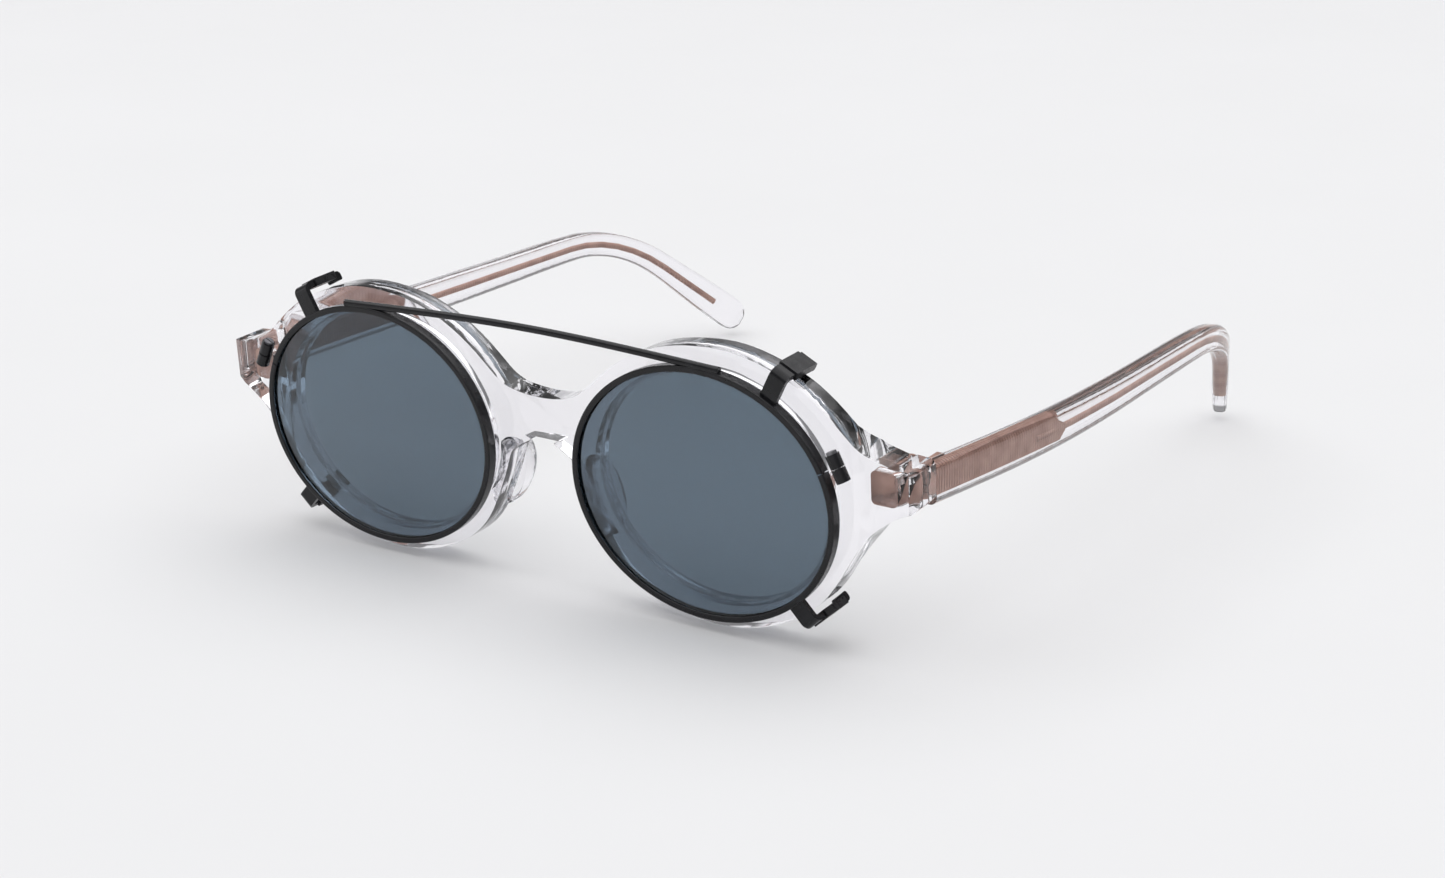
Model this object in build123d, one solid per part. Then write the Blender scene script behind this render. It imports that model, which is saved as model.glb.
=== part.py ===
from build123d import *
import math
import os

os.makedirs("parts", exist_ok=True)

# ---------------------------------------------------------------- sizes, mm
EYE_X = 33.67            # middle of each lens from the mid plane
TILT = 3.08              # the front leans top-forward, degrees
FRONT_LIFT = 23.45       # lens middle above the table
SHIFT_Y = -74.0          # puts the row origin in the middle of the depth
FACE_Y = 2.5             # front face of the acetate behind the clip plane
BACK_Y = 7.0             # back face of the acetate
BUTT_Y = 10.0            # back end of the endpieces
END_X = 70.4             # outer side of the endpieces
OPEN_A, OPEN_B = 22.3, 19.4      # opening for the clear lens, half axes
CLEAR_A, CLEAR_B = 22.9, 20.0    # clear lens, half axes
CLEAR_Y, CLEAR_T = 4.0, 1.9      # clear lens front and thickness

RIM_A, RIM_B = 25.0, 21.4        # clip rim outside, half axes
RIM_W, RIM_D = 1.1, 2.0          # clip rim wire: radial width, depth
SUN_A, SUN_B = 24.3, 20.7        # sun lens, half axes
SUN_T, SUN_R = 1.1, 262.0        # sun lens thickness and curve
GROOVE = 0.42                    # lens groove depth in the clip rim

BAR_R = 0.62                     # brow bar
BAR_END_X = 38.3
BAR_END_Z, BAR_MID_Z = 21.45, 22.75
BAR_Y = -0.35

HOOK_W, HOOK_T = 3.0, 0.9        # hook strip
HOOKS = {  # place on the rim, outward direction, arm stand-off, arm length, lip
    "upper": (13.2, 18.0, 0.46, 0.89, 4.85, 8.4, 0.8),
    "lower": (17.2, -15.4, 0.68, -0.73, 3.75, 9.4, 0.75),
}

LOCK_X, LOCK_Z = 24.6, 8.7       # rim closing barrel, from the lens middle
LOCK_R, LOCK_L = 1.15, 2.2       # each half barrel
LOCK_GAP = 0.2

PIN_X, PIN_Y, PIN_Z = 64.9, 11.6, 4.8    # hinge pin, front frame
KNUCKLE_R = 1.4
KNUCKLE_H = 1.0
KNUCKLE_STEP = 1.1
PIN_R = 0.62
PIN_CLEAR = 0.04

TEMPLE_GAP = 0.15
# temple centre line before the bend: (x, y, z) on the table
TEMPLE_LINE = [
    (67.9, 4.0, 28.75),
    (68.5, 10.0, 28.7),
    (69.6, 22.0, 28.4),
    (70.6, 36.0, 28.05),
    (71.2, 52.0, 27.75),
    (71.35, 68.0, 27.7),
    (71.15, 86.0, 27.85),
    (70.95, 102.7, 27.95),
]
BEND_R, BEND_DEG = 45.5, 37.8
CURL_DEG = 20.4
TIP_LEN = 25.4
CORE_PLATE_H, CORE_PLATE_T = 3.9, 1.0
CORE_PLATE_END = 46.0
WIRE_R = 0.65
WIRE_STOP = 9.0                  # bare acetate beyond the wire end

# ---------------------------------------------------------------- helpers


def stand(shape):
    """From the upright frame of the front to the row frame."""
    turned = shape.rotate(Axis.X, TILT)
    return turned.translate((0, SHIFT_Y, FRONT_LIFT))


def table(shape):
    """From table coordinates to the row frame."""
    return shape.translate((0, SHIFT_Y, 0))


def mirror_x(shape):
    return shape.mirror(Plane.YZ)


def save(shape, name):
    solids = shape.solids()
    solid = solids[0] if len(solids) == 1 else Compound(children=solids)
    solid.label = name
    export_step(solid, "parts/" + name + ".step")


def save_pair(shape, name):
    save(shape, name + "_left")
    save(mirror_x(shape), name + "_right")


def oval(a, b, y0, y1, x=EYE_X, z=0.0):
    """Elliptic cylinder along Y from y0 to y1."""
    plane = Plane(origin=(x, y0, z), x_dir=(1, 0, 0), z_dir=(0, 1, 0))
    return extrude(plane * Ellipse(a, b), amount=y1 - y0)


def block(x0, x1, y0, y1, z0, z1):
    size = Box(x1 - x0, y1 - y0, z1 - z0)
    return Pos((x0 + x1) / 2, (y0 + y1) / 2, (z0 + z1) / 2) * size


def upright(x, y, z0, z1, r):
    """Cylinder along Z."""
    return Pos(x, y, (z0 + z1) / 2) * Cylinder(r, z1 - z0)


# ---------------------------------------------------------------- acetate front
TOP_LINE = [
    (0, 9.8), (4.0, 10.1), (7.6, 11.2), (10.3, 13.4), (13.2, 16.0), (17.7, 19.2),
    (24.6, 22.3), (31.5, 23.6), (38.6, 23.6), (45.0, 22.1), (50.9, 19.6), (55.8, 16.1),
    (59.3, 12.9), (62.6, 10.7), (66.4, 9.6), (69.2, 9.15),
]
LOW_LINE = [
    (69.2, 2.0), (66.4, 0.5), (63.4, -1.9), (61.0, -4.9), (59.0, -8.0), (55.5, -13.6),
    (49.7, -18.9), (42.0, -22.4), (33.67, -23.6), (25.3, -22.4), (17.7, -18.9),
    (12.6, -13.9), (9.6, -8.2), (7.5, -3.2), (5.2, 0.4), (2.6, 2.2), (0, 2.7),
]


def silhouette():
    top = Spline(*TOP_LINE, tangents=((1, 0), (1, -0.08)))
    side_top = ThreePointArc((69.2, 9.15), (END_X - 0.3, 8.75), (END_X, 7.95))
    side = Line((END_X, 7.95), (END_X, 3.2))
    side_low = ThreePointArc((END_X, 3.2), (END_X - 0.32, 2.45), (69.2, 2.0))
    low = Spline(*LOW_LINE, tangents=((-1, -0.3), (-1, 0)))
    half = [top, side_top, side, side_low, low]
    other = [edge.mirror(Plane.YZ) for edge in half]
    face = make_face(half + other)
    plane = Plane(origin=(0, 0, 0), x_dir=(1, 0, 0), z_dir=(0, -1, 0))
    return extrude(plane * face, amount=-14)


def plan():
    """Plan view: flat front, ends running back to the hinges."""
    c = 2.6
    points = [
        (0, FACE_Y), (END_X - c, FACE_Y), (END_X - 0.9, FACE_Y + 0.7), (END_X, FACE_Y + c),
        (END_X, BUTT_Y), (67.3, BUTT_Y), (66.6, 9.0), (61.6, 9.0), (58.6, BACK_Y), (0, BACK_Y),
    ]
    half = make_face(Polyline(*points, close=True))
    both = half + half.mirror(Plane.YZ)
    return extrude(Pos(0, 0, -30) * both, amount=60)


def nose_pad():
    pad = scale(Sphere(1.0), by=(2.7, 4.3, 7.0))
    pad = Pos(10.5, 7.0, -6.2) * Rot(0, -17, 24) * pad
    pad = pad & block(0, 30, BACK_Y, 14, -20, 10)
    return pad - oval(OPEN_A + 0.5, OPEN_B + 0.5, 0, 14)


def front_body():
    body = silhouette() & plan()
    for x in (-EYE_X, EYE_X):
        body = body - oval(OPEN_A, OPEN_B, 0, 14, x)
    for x in (-EYE_X, EYE_X):
        body = body - oval(CLEAR_A + 0.03, CLEAR_B + 0.03, CLEAR_Y, CLEAR_Y + CLEAR_T, x)
    return body


def clear_lens():
    return oval(CLEAR_A, CLEAR_B, CLEAR_Y, CLEAR_Y + CLEAR_T)


# ---------------------------------------------------------------- hinges


def knuckle_band(index):
    """Low and high end of knuckle 0..4, from the bottom."""
    low = PIN_Z + (index - 2) * KNUCKLE_STEP - KNUCKLE_H / 2
    return low, low + KNUCKLE_H


def front_hinge():
    z0, z1 = PIN_Z - 2.7, PIN_Z + 2.7
    leaf = block(61.9, 66.2, 6.4, 9.35, z0, z1)
    leaf = fillet(leaf.edges().filter_by(Axis.Y), 0.8)
    teeth = []
    for index in (0, 2, 4):
        low, high = knuckle_band(index)
        barrel = upright(PIN_X, PIN_Y, low, high, KNUCKLE_R)
        web = block(PIN_X - KNUCKLE_R, PIN_X, 9.0, PIN_Y, low, high)
        teeth.append(barrel + web)
    whole = leaf
    for tooth in teeth:
        whole = whole + tooth
    hole = upright(PIN_X, PIN_Y, z0 - 1, z1 + 1, PIN_R)
    return whole - hole


def temple_hinge():
    z0, z1 = PIN_Z - 2.45, PIN_Z + 2.45
    whole = block(66.65, 67.9, 10.5, 17.0, z0, z1)
    for index in (1, 3):
        low, high = knuckle_band(index)
        barrel = upright(PIN_X, PIN_Y, low, high, KNUCKLE_R)
        web = block(PIN_X, 67.0, PIN_Y - 1.0, PIN_Y + KNUCKLE_R, low, high)
        whole = whole + barrel + web
    hole = upright(PIN_X, PIN_Y, z0 - 1, z1 + 1, PIN_R + PIN_CLEAR)
    return whole - hole


def hinge_screw():
    z0, z1 = PIN_Z - 2.7, PIN_Z + 2.7
    shank = upright(PIN_X, PIN_Y, z0, z1, PIN_R)
    head = upright(PIN_X, PIN_Y, z1, z1 + 0.55, 1.15)
    slot = block(PIN_X - 2, PIN_X + 2, PIN_Y - 0.15, PIN_Y + 0.15, z1 + 0.3, z1 + 1)
    return shank + head - slot


# ---------------------------------------------------------------- temples


def temple_stations():
    """Centre line points with the running direction at each."""
    points = [Vector(*p) for p in TEMPLE_LINE]
    ways = []
    for i in range(len(points)):
        a = points[max(i - 1, 0)]
        b = points[min(i + 1, len(points) - 1)]
        ways.append((b - a).normalized())
    inward = math.radians(0.8)
    rise = math.radians(0.43)
    ways[-1] = Vector(-math.sin(inward), math.cos(inward), math.sin(rise)).normalized()
    steps = 6
    bend = math.radians(BEND_DEG)
    curl = math.radians(CURL_DEG)
    here = points[-1]
    for i in range(steps):
        mid = (i + 0.5) / steps
        drop = rise - bend * mid
        turn = inward + curl * mid
        way = Vector(-math.sin(turn) * math.cos(drop), math.cos(turn) * math.cos(drop), math.sin(drop))
        here = here + way * (BEND_R * bend / steps)
        end = (i + 1) / steps
        drop = rise - bend * end
        turn = inward + curl * end
        way = Vector(-math.sin(turn) * math.cos(drop), math.cos(turn) * math.cos(drop), math.sin(drop))
        points.append(here)
        ways.append(way)
    for along in (9.0, 17.0, TIP_LEN - 3.6, TIP_LEN - 1.6, TIP_LEN - 0.3, TIP_LEN + 0.4):
        points.append(here + way * along)
        ways.append(way)
    return points, ways


# temple height and thickness at each station
TEMPLE_H = [6.7, 6.7, 6.7, 6.65, 6.5, 6.2, 5.8, 5.4, 5.2, 5.1, 5.1, 5.2, 5.4, 5.6,
            6.3, 6.9, 7.0, 6.4, 4.6, 2.6]
TEMPLE_T = [3.8, 3.8, 3.8, 3.8, 3.75, 3.7, 3.6, 3.5, 3.4, 3.35, 3.3, 3.3, 3.25, 3.2,
            3.1, 3.0, 2.9, 2.7, 2.1, 1.3]


def temple_solid():
    points, ways = temple_stations()
    faces = []
    for p, way, h, t in zip(points, ways, TEMPLE_H, TEMPLE_T):
        side = Vector(0, 0, 1).cross(way).normalized()
        plane = Plane(origin=p, x_dir=side, z_dir=way)
        faces.append(plane * RectangleRounded(t, h, min(t, h) * 0.34))
    return table(loft(faces))


def temple_core():
    points, ways = temple_stations()
    stop = points[-7] + ways[-1] * (TIP_LEN - WIRE_STOP)
    way_in = (points[5] - Vector(70.75, 40.0, 27.98)).normalized()
    route = [Vector(70.75, 40.0, 27.98)] + points[4:-6] + [stop]
    headings = [way_in] + ways[4:-6] + [ways[-1]]
    rings = []
    for p, way in zip(route, headings):
        side = Vector(0, 0, 1).cross(way).normalized()
        rings.append(Plane(origin=p, x_dir=side, z_dir=way) * Circle(WIRE_R))
    wire = loft(rings, ruled=True)
    rear = CORE_PLATE_END
    half = CORE_PLATE_H / 2
    a = Vector(68.5, 10.9, 28.7)
    b = Vector(71.0, rear, 27.86)
    way = (b - a).normalized()
    side = Vector(0, 0, 1).cross(way).normalized()
    plane = Plane(origin=a, x_dir=way, z_dir=side)
    length = (b - a).length
    outline = Polyline((0, -half), (length, -half), (length + 3.4, -0.45), (length + 3.4, 0.6),
                       (length + 1.6, half), (0, half), close=True)
    plate = extrude(plane * make_face(outline), amount=CORE_PLATE_T / 2, both=True)
    return table(wire + plate)


# ---------------------------------------------------------------- clip


def lock_frame():
    """Rim closing barrel: middle and outward direction, from the lens middle."""
    n = Vector(LOCK_X / RIM_A ** 2, 0, LOCK_Z / RIM_B ** 2).normalized()
    along = Vector(-n.Z, 0, n.X)
    return Vector(EYE_X + LOCK_X, 0, LOCK_Z), n, along


def rim_split():
    middle, n, along = lock_frame()
    plane = Plane(origin=middle, x_dir=n, z_dir=along)
    return extrude(plane * Rectangle(9, 6), amount=LOCK_GAP / 2, both=True)


def clip_rim():
    ring = oval(RIM_A, RIM_B, -RIM_D / 2, RIM_D / 2)
    ring = ring - oval(RIM_A - RIM_W, RIM_B - RIM_W, -2, 2)
    ring = fillet(ring.edges(), 0.25)
    groove = oval(RIM_A - RIM_W + GROOVE, RIM_B - RIM_W + GROOVE, -0.78, 0.78)
    return ring - groove - rim_split()


def sun_lens():
    shell = Sphere(SUN_R) - Sphere(SUN_R - SUN_T)
    edge_sag = SUN_R - math.sqrt(SUN_R ** 2 - 22.4 ** 2)
    shell = Pos(EYE_X, SUN_R - edge_sag - SUN_T / 2, 0) * shell
    return shell & oval(SUN_A, SUN_B, -6, 6)


def brow_bar():
    path = Spline((-BAR_END_X, BAR_Y, BAR_END_Z), (-EYE_X + 4, BAR_Y, BAR_END_Z + 0.42),
                  (0, BAR_Y, BAR_MID_Z), (EYE_X - 4, BAR_Y, BAR_END_Z + 0.42),
                  (BAR_END_X, BAR_Y, BAR_END_Z))
    ring = Plane(origin=path @ 0, z_dir=path % 0) * Circle(BAR_R)
    return sweep(ring, path=path)


def hook_plane(kind):
    rx, rz, nx, nz, arm, reach, lip = HOOKS[kind]
    size = math.hypot(nx, nz)
    nx, nz = nx / size, nz / size
    origin = (EYE_X + rx, 0, rz)
    return Plane(origin=origin, x_dir=(nx, 0, nz), z_dir=(-nz, 0, nx)), arm, reach, lip


def clip_hook(kind):
    plane, arm, reach, lip = hook_plane(kind)
    h = HOOK_T / 2
    out = arm + h
    inner = arm - h
    tip = arm - lip - h
    points = [
        (-0.3, 0.2 - h), (out, 0.2 - h), (out, reach + h), (tip, reach + h),
        (tip, reach - h), (inner, reach - h), (inner, 0.2 + h), (-0.3, 0.2 + h),
    ]
    radii = [0.05, 1.35, 0.8, 0.4, 0.4, 0.25, 0.55, 0.05]
    strip = make_face(FilletPolyline(*points, radius=radii, close=True))
    hook = extrude(plane * strip, amount=HOOK_W / 2, both=True)
    return hook


def hook_sleeve(kind):
    plane, arm, reach, lip = hook_plane(kind)
    line = Line((arm, 2.4), (arm, reach - 0.9))
    strip = trace(line, line_width=HOOK_T + 0.5)
    return extrude(plane * strip, amount=HOOK_W / 2 + 0.25, both=True)


def lock_half(side):
    middle, n, along = lock_frame()
    base = middle + n * 0.95 + along * (side * LOCK_GAP / 2)
    plane = Plane(origin=base, z_dir=along * side)
    barrel = extrude(plane * Circle(LOCK_R), amount=LOCK_L)
    hole = extrude(plane * Circle(0.5), amount=LOCK_L + 1)
    return barrel - hole


def lock_screw():
    middle, n, along = lock_frame()
    top = middle + n * 0.95 + along * (LOCK_GAP / 2 + LOCK_L)
    plane = Plane(origin=top, z_dir=along)
    shank = extrude(plane * Circle(0.5), amount=-(2 * LOCK_L + LOCK_GAP - 0.3))
    head = extrude(plane * Circle(0.85), amount=0.45)
    slot_plane = Plane(origin=top + along * 0.25, x_dir=n, z_dir=along)
    slot = extrude(slot_plane * Rectangle(3, 0.22), amount=1)
    return shank + head - slot


# ---------------------------------------------------------------- assembly
hinge_front = front_hinge()
front = front_body()
for part in (hinge_front, mirror_x(hinge_front)):
    front = front - part
save(stand(front), "front_frame")
save_pair(stand(nose_pad()), "nose_pad")
save_pair(stand(clear_lens()), "clear_lens")
save_pair(stand(hinge_front), "front_hinge")
save_pair(stand(hinge_screw()), "hinge_screw")

hinge_rear = stand(temple_hinge())
core = temple_core()
cutter = stand(block(50, 90, -40, BUTT_Y + TEMPLE_GAP, -40, 40))
acetate = temple_solid() - cutter
save_pair(acetate, "temple")
save_pair(core, "temple_core")
save_pair(hinge_rear, "temple_hinge")

bar = brow_bar()
locks = {"upper": lock_half(1), "lower": lock_half(-1)}
rim = clip_rim() - bar
for half in locks.values():
    rim = rim - half
save_pair(stand(rim), "clip_rim")
save_pair(stand(sun_lens()), "sun_lens")
save(stand(bar), "clip_brow_bar")
for kind in HOOKS:
    hook = clip_hook(kind)
    sleeve = hook_sleeve(kind) - hook
    hook = hook - clip_rim()
    hook = hook.solids().sort_by(SortBy.VOLUME)[-1]
    save_pair(stand(hook), "clip_hook_" + kind)
    save_pair(stand(sleeve), "hook_sleeve_" + kind)
for kind, half in locks.items():
    save_pair(stand(half), "clip_lock_" + kind)
save_pair(stand(lock_screw()), "clip_lock_screw")
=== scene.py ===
import math

import bmesh
import bpy
from mathutils import Matrix, Vector


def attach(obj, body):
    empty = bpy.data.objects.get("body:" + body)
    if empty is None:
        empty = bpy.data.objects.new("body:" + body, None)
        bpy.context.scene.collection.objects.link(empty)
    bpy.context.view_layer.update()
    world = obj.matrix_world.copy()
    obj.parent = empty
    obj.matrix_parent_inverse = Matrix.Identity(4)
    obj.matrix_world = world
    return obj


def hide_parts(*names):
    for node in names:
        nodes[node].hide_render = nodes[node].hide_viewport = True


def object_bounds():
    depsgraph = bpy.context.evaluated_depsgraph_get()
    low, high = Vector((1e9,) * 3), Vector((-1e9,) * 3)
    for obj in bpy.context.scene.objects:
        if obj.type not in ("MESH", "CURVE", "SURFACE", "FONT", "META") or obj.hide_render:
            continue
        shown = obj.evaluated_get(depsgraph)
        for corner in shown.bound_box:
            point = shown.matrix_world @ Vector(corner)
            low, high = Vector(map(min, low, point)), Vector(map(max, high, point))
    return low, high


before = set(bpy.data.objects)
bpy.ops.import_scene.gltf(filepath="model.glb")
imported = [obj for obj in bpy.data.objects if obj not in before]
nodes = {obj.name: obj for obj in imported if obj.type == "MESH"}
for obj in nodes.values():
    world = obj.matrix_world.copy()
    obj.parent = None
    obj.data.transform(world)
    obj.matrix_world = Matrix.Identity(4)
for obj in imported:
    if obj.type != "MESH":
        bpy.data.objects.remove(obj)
cad_box = [list(corner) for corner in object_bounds()]
scene = bpy.context.scene

SIDES = ("left", "right")

CAMERA_ANGLES = (34.21, 18.35, -0.77)           # azimuth, elevation and roll in degrees
CAMERA_PLACE = (0.24297, -0.37580, 0.15435)     # metres
CAMERA_LENS, SENSOR_WIDTH = 61.54, 36.0         # millimetres
CAMERA_NEAR = 0.01

FLOOR_SIZE = 30
# Upward part of the view direction, and the light level there: as bright as the table below
# and near the horizon, a darker band above it, and a bright ceiling.
SKY = ((0.0, 0.88), (0.12, 0.88), (0.22, 0.2), (0.55, 0.24), (0.68, 1.6), (1.0, 1.6))
SKY_BLUE = 1.015

ROUNDING, ROUNDING_STEPS = 0.0012, 5            # bevel offset in metres, and its segments
WELD = 2e-6                                     # distance that counts as one vertex
FLAT = math.radians(0.6)                        # turns below this are merged into one face
EDGE = math.radians(38)                         # turns above this are rounded
CREASE = math.radians(32)                       # turns above this are shaded sharp
HATCH_SCALE = 450                               # wave texture scale on the core plate

MIX_A, MIX_B, MIX_RESULT = 6, 7, 2              # colour sockets of a Mix node


# ---------------------------------------------------------------- camera
def make_camera():
    azimuth, elevation, roll = (math.radians(a) for a in CAMERA_ANGLES)
    back = Vector((math.sin(azimuth) * math.cos(elevation),
                   -math.cos(azimuth) * math.cos(elevation), math.sin(elevation)))
    right = Vector((math.cos(azimuth), math.sin(azimuth), 0))
    up = back.cross(right)
    c, s = math.cos(roll), math.sin(roll)
    right, up = c * right + s * up, c * up - s * right
    data = bpy.data.cameras.new("camera")
    data.sensor_width = SENSOR_WIDTH
    data.lens = CAMERA_LENS
    data.clip_start = CAMERA_NEAR
    camera = bpy.data.objects.new("camera", data)
    scene.collection.objects.link(camera)
    turn = Matrix((right, up, back)).transposed()
    camera.matrix_world = Matrix.Translation(CAMERA_PLACE) @ turn.to_4x4()
    scene.camera = camera


# ---------------------------------------------------------------- materials
class Mat:
    """A Principled material with small helpers."""

    def __init__(self, name):
        self.m = bpy.data.materials.new(name)
        self.m.use_nodes = True
        self.tree = self.m.node_tree
        self.p = self.tree.nodes["Principled BSDF"]
        self.coords = self.tree.nodes.new("ShaderNodeTexCoord")

    def put(self, **values):
        for key, value in values.items():
            self.p.inputs[key.replace("_", " ")].default_value = value

    def link(self, a, b):
        self.tree.links.new(a, b)

    def noise(self, scale, detail=4.0, stretch=(1, 1, 1)):
        mapping = self.tree.nodes.new("ShaderNodeMapping")
        mapping.inputs["Scale"].default_value = stretch
        node = self.tree.nodes.new("ShaderNodeTexNoise")
        node.inputs["Scale"].default_value = scale
        node.inputs["Detail"].default_value = detail
        self.link(self.coords.outputs["Object"], mapping.inputs["Vector"])
        self.link(mapping.outputs["Vector"], node.inputs["Vector"])
        return node.outputs["Fac"]

    def ramp(self, fac, low, high, a=0.3, b=0.7):
        node = self.tree.nodes.new("ShaderNodeMapRange")
        node.inputs["From Min"].default_value = a
        node.inputs["From Max"].default_value = b
        node.inputs["To Min"].default_value = low
        node.inputs["To Max"].default_value = high
        self.link(fac, node.inputs["Value"])
        return node.outputs["Result"]

    def rough(self, fac, low, high):
        self.link(self.ramp(fac, low, high), self.p.inputs["Roughness"])

    def colour(self, fac, a, b):
        node = self.tree.nodes.new("ShaderNodeMix")
        node.data_type = "RGBA"
        node.inputs[MIX_A].default_value = (*a, 1)
        node.inputs[MIX_B].default_value = (*b, 1)
        self.link(self.ramp(fac, 0, 1), node.inputs[0])
        self.link(node.outputs[MIX_RESULT], self.p.inputs["Base Color"])

    def bump(self, fac, distance, strength=0.5):
        node = self.tree.nodes.new("ShaderNodeBump")
        node.inputs["Strength"].default_value = strength
        node.inputs["Distance"].default_value = distance
        self.link(fac, node.inputs["Height"])
        self.link(node.outputs["Normal"], self.p.inputs["Normal"])


def soften_shadow(mat, tint, amount):
    """Clear plastic lets most of the light through to the table."""
    tree = mat.tree
    clear = tree.nodes.new("ShaderNodeBsdfTransparent")
    clear.inputs["Color"].default_value = (*tint, 1)
    mix = tree.nodes.new("ShaderNodeMixShader")
    path = tree.nodes.new("ShaderNodeLightPath")
    share = tree.nodes.new("ShaderNodeMath")
    share.operation = "MULTIPLY"
    share.inputs[1].default_value = amount
    out = next(n for n in tree.nodes if n.type == "OUTPUT_MATERIAL")
    mat.link(path.outputs["Is Shadow Ray"], share.inputs[0])
    mat.link(share.outputs[0], mix.inputs[0])
    mat.link(mat.p.outputs[0], mix.inputs[1])
    mat.link(clear.outputs[0], mix.inputs[2])
    mat.link(mix.outputs[0], out.inputs["Surface"])


def acetate():
    mat = Mat("clear_acetate")
    mat.put(Transmission_Weight=1.0, IOR=1.49, Specular_IOR_Level=0.5)
    mat.colour(mat.noise(60), (0.985, 0.975, 0.995), (0.965, 0.955, 0.985))
    mat.rough(mat.noise(180), 0.015, 0.05)
    mat.bump(mat.noise(90, 2), 0.00004, 0.25)
    soften_shadow(mat, (0.97, 0.965, 0.98), 0.97)
    return mat.m


def clear_lens():
    mat = Mat("clear_lens")
    mat.put(Transmission_Weight=1.0, IOR=1.5)
    mat.colour(mat.noise(25), (0.99, 0.995, 1.0), (0.975, 0.985, 0.99))
    mat.rough(mat.noise(120), 0.0, 0.02)
    soften_shadow(mat, (0.95, 0.96, 0.97), 0.95)
    return mat.m


def sun_lens():
    mat = Mat("sun_lens")
    mat.put(Transmission_Weight=1.0, IOR=1.5)
    mat.colour(mat.noise(12), (0.112, 0.155, 0.198), (0.104, 0.147, 0.19))
    mat.rough(mat.noise(90), 0.0, 0.025)
    soften_shadow(mat, (0.72, 0.75, 0.78), 1.0)
    return mat.m


def copper(name, hatch):
    mat = Mat(name)
    mat.put(Metallic=0.85)
    grain = mat.noise(900, 3, (1, 0.4, 1))
    mat.colour(mat.noise(300), (0.36, 0.21, 0.17), (0.50, 0.32, 0.26))
    mat.rough(grain, 0.28, 0.5)
    if hatch:
        wave = mat.tree.nodes.new("ShaderNodeTexWave")
        wave.wave_type = "BANDS"
        wave.bands_direction = "Y"
        wave.inputs["Scale"].default_value = HATCH_SCALE
        wave.inputs["Distortion"].default_value = 0.6
        mat.link(mat.coords.outputs["Object"], wave.inputs["Vector"])
        mat.bump(wave.outputs["Fac"], 0.0001, 0.8)
    else:
        mat.bump(grain, 0.00003, 0.4)
    return mat.m


def black_metal():
    mat = Mat("black_metal")
    mat.put(Metallic=0.0, Specular_IOR_Level=0.28)
    mat.colour(mat.noise(400), (0.006, 0.006, 0.007), (0.012, 0.012, 0.014))
    mat.rough(mat.noise(900), 0.12, 0.26)
    mat.bump(mat.noise(1500, 2), 0.00001, 0.3)
    return mat.m


def dark_steel():
    mat = Mat("dark_steel")
    mat.put(Metallic=0.9)
    mat.colour(mat.noise(500), (0.10, 0.10, 0.11), (0.22, 0.22, 0.23))
    mat.rough(mat.noise(1200), 0.25, 0.45)
    return mat.m


def rubber():
    mat = Mat("sleeve")
    mat.put(Specular_IOR_Level=0.3)
    mat.colour(mat.noise(500), (0.008, 0.008, 0.009), (0.016, 0.016, 0.018))
    mat.rough(mat.noise(900), 0.22, 0.4)
    mat.bump(mat.noise(1800, 2), 0.00002, 0.4)
    return mat.m


def floor_paper():
    mat = Mat("floor_paper")
    mat.colour(mat.noise(8), (0.685, 0.685, 0.686), (0.695, 0.695, 0.697))
    mat.rough(mat.noise(30), 0.75, 0.9)
    return mat.m


# ---------------------------------------------------------------- stage
def make_stage(low):
    scene.view_settings.view_transform = "Standard"
    bpy.ops.mesh.primitive_plane_add(size=FLOOR_SIZE, location=(0, 0, low))
    floor = bpy.context.object
    floor.name = "floor"
    floor.data.materials.append(floor_paper())
    world = bpy.data.worlds.new("studio")
    scene.world = world
    world.use_nodes = True
    tree = world.node_tree
    back = tree.nodes["Background"]
    back.inputs["Strength"].default_value = 1.0
    coords = tree.nodes.new("ShaderNodeTexCoord")
    split = tree.nodes.new("ShaderNodeSeparateXYZ")
    ramp = tree.nodes.new("ShaderNodeValToRGB")
    band = ramp.color_ramp
    while len(band.elements) < len(SKY):
        band.elements.new(0.5)
    for element, (place, level) in zip(band.elements, SKY):
        element.position = place
        element.color = (level, level, level * SKY_BLUE, 1)
    tree.links.new(coords.outputs["Generated"], split.inputs[0])
    tree.links.new(split.outputs["Z"], ramp.inputs[0])
    tree.links.new(ramp.outputs[0], back.inputs["Color"])


def area_light(name, place, aim, size, watts, tint=(1, 1, 1)):
    data = bpy.data.lights.new(name, "AREA")
    data.shape = "RECTANGLE"
    data.size, data.size_y = size
    data.energy = watts
    data.color = tint
    lamp = bpy.data.objects.new(name, data)
    lamp.location = place
    toward = Vector(aim) - Vector(place)
    lamp.rotation_euler = toward.to_track_quat("-Z", "Y").to_euler()
    scene.collection.objects.link(lamp)


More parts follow.
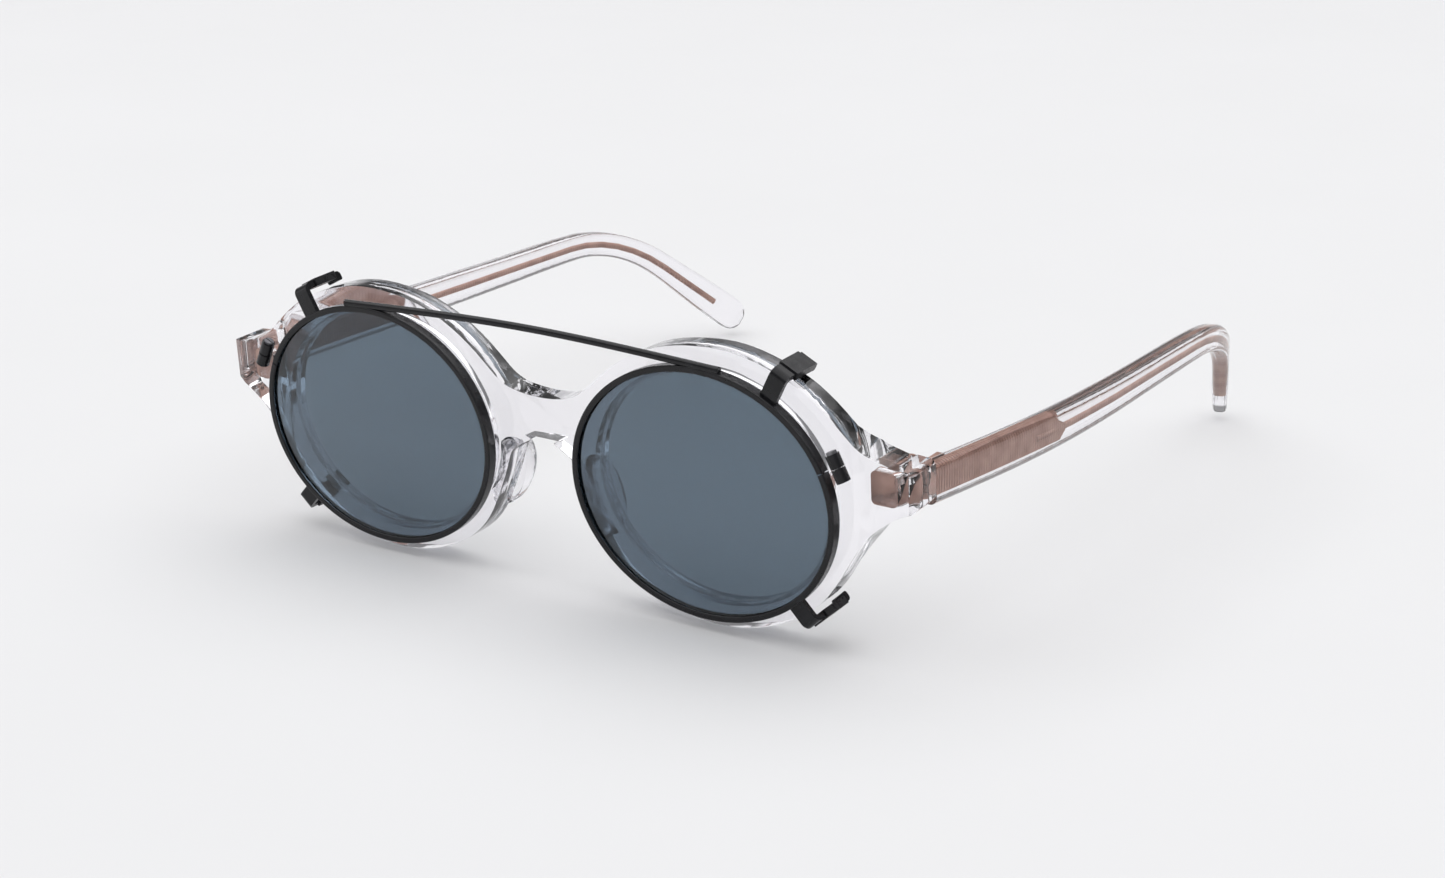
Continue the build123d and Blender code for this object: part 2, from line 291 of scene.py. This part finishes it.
def make_lights():
    area_light("softbox_top", (-0.2, 0.25, 1.1), (0, 0, 0), (2.2, 1.8), 3.2)
    area_light("softbox_left", (-0.9, -0.5, 0.6), (0, 0, 0.02), (0.5, 0.9), 1.0,
               (0.97, 0.98, 1))
    area_light("strip_right", (0.9, 0.4, 0.5), (0, 0, 0.02), (0.3, 0.9), 0.9)


# ---------------------------------------------------------------- pieces
def paint(name, material):
    node = nodes[name]
    node.data.materials.clear()
    node.data.materials.append(material)


def rounded_copy(name, new_name, material, body):
    """The CAD node with its sharp edges rounded off, as polished acetate has."""
    mesh = nodes[name].data.copy()
    mesh.name = new_name
    bm = bmesh.new()
    bm.from_mesh(mesh)
    bmesh.ops.remove_doubles(bm, verts=bm.verts, dist=WELD)
    bmesh.ops.dissolve_limit(bm, angle_limit=FLAT, verts=bm.verts, edges=bm.edges)
    sharp = [e for e in bm.edges if len(e.link_faces) == 2 and e.calc_face_angle() > EDGE]
    bmesh.ops.bevel(bm, geom=sharp, offset=ROUNDING, segments=ROUNDING_STEPS, profile=0.5,
                    affect="EDGES", clamp_overlap=True)
    for face in bm.faces:
        face.smooth = True
    bm.to_mesh(mesh)
    bm.free()
    mesh.set_sharp_from_angle(angle=CREASE)
    piece = bpy.data.objects.new(new_name, mesh)
    scene.collection.objects.link(piece)
    mesh.materials.clear()
    mesh.materials.append(material)
    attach(piece, body)
    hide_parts(name)


def dress():
    clear = acetate()
    rounded_copy("front_frame", "front_acetate", clear, "front")
    looks = {
        "nose_pad": clear, "temple": clear, "clear_lens": clear_lens(),
        "front_hinge": copper("copper", False), "temple_hinge": copper("copper_hinge", False),
        "temple_core": copper("copper_core", True), "hinge_screw": copper("screw", False),
        "sun_lens": sun_lens(), "clip_lock_screw": dark_steel(),
    }
    metal = black_metal()
    for kind in ("clip_rim", "clip_hook_upper", "clip_hook_lower",
                 "clip_lock_upper", "clip_lock_lower"):
        looks[kind] = metal
    sleeve = rubber()
    for kind in ("hook_sleeve_upper", "hook_sleeve_lower"):
        looks[kind] = sleeve
    for kind, material in looks.items():
        for side in SIDES:
            paint(f"{kind}_{side}", material)
    paint("clip_brow_bar", metal)


make_camera()
make_stage(cad_box[0][2])
make_lights()
dress()
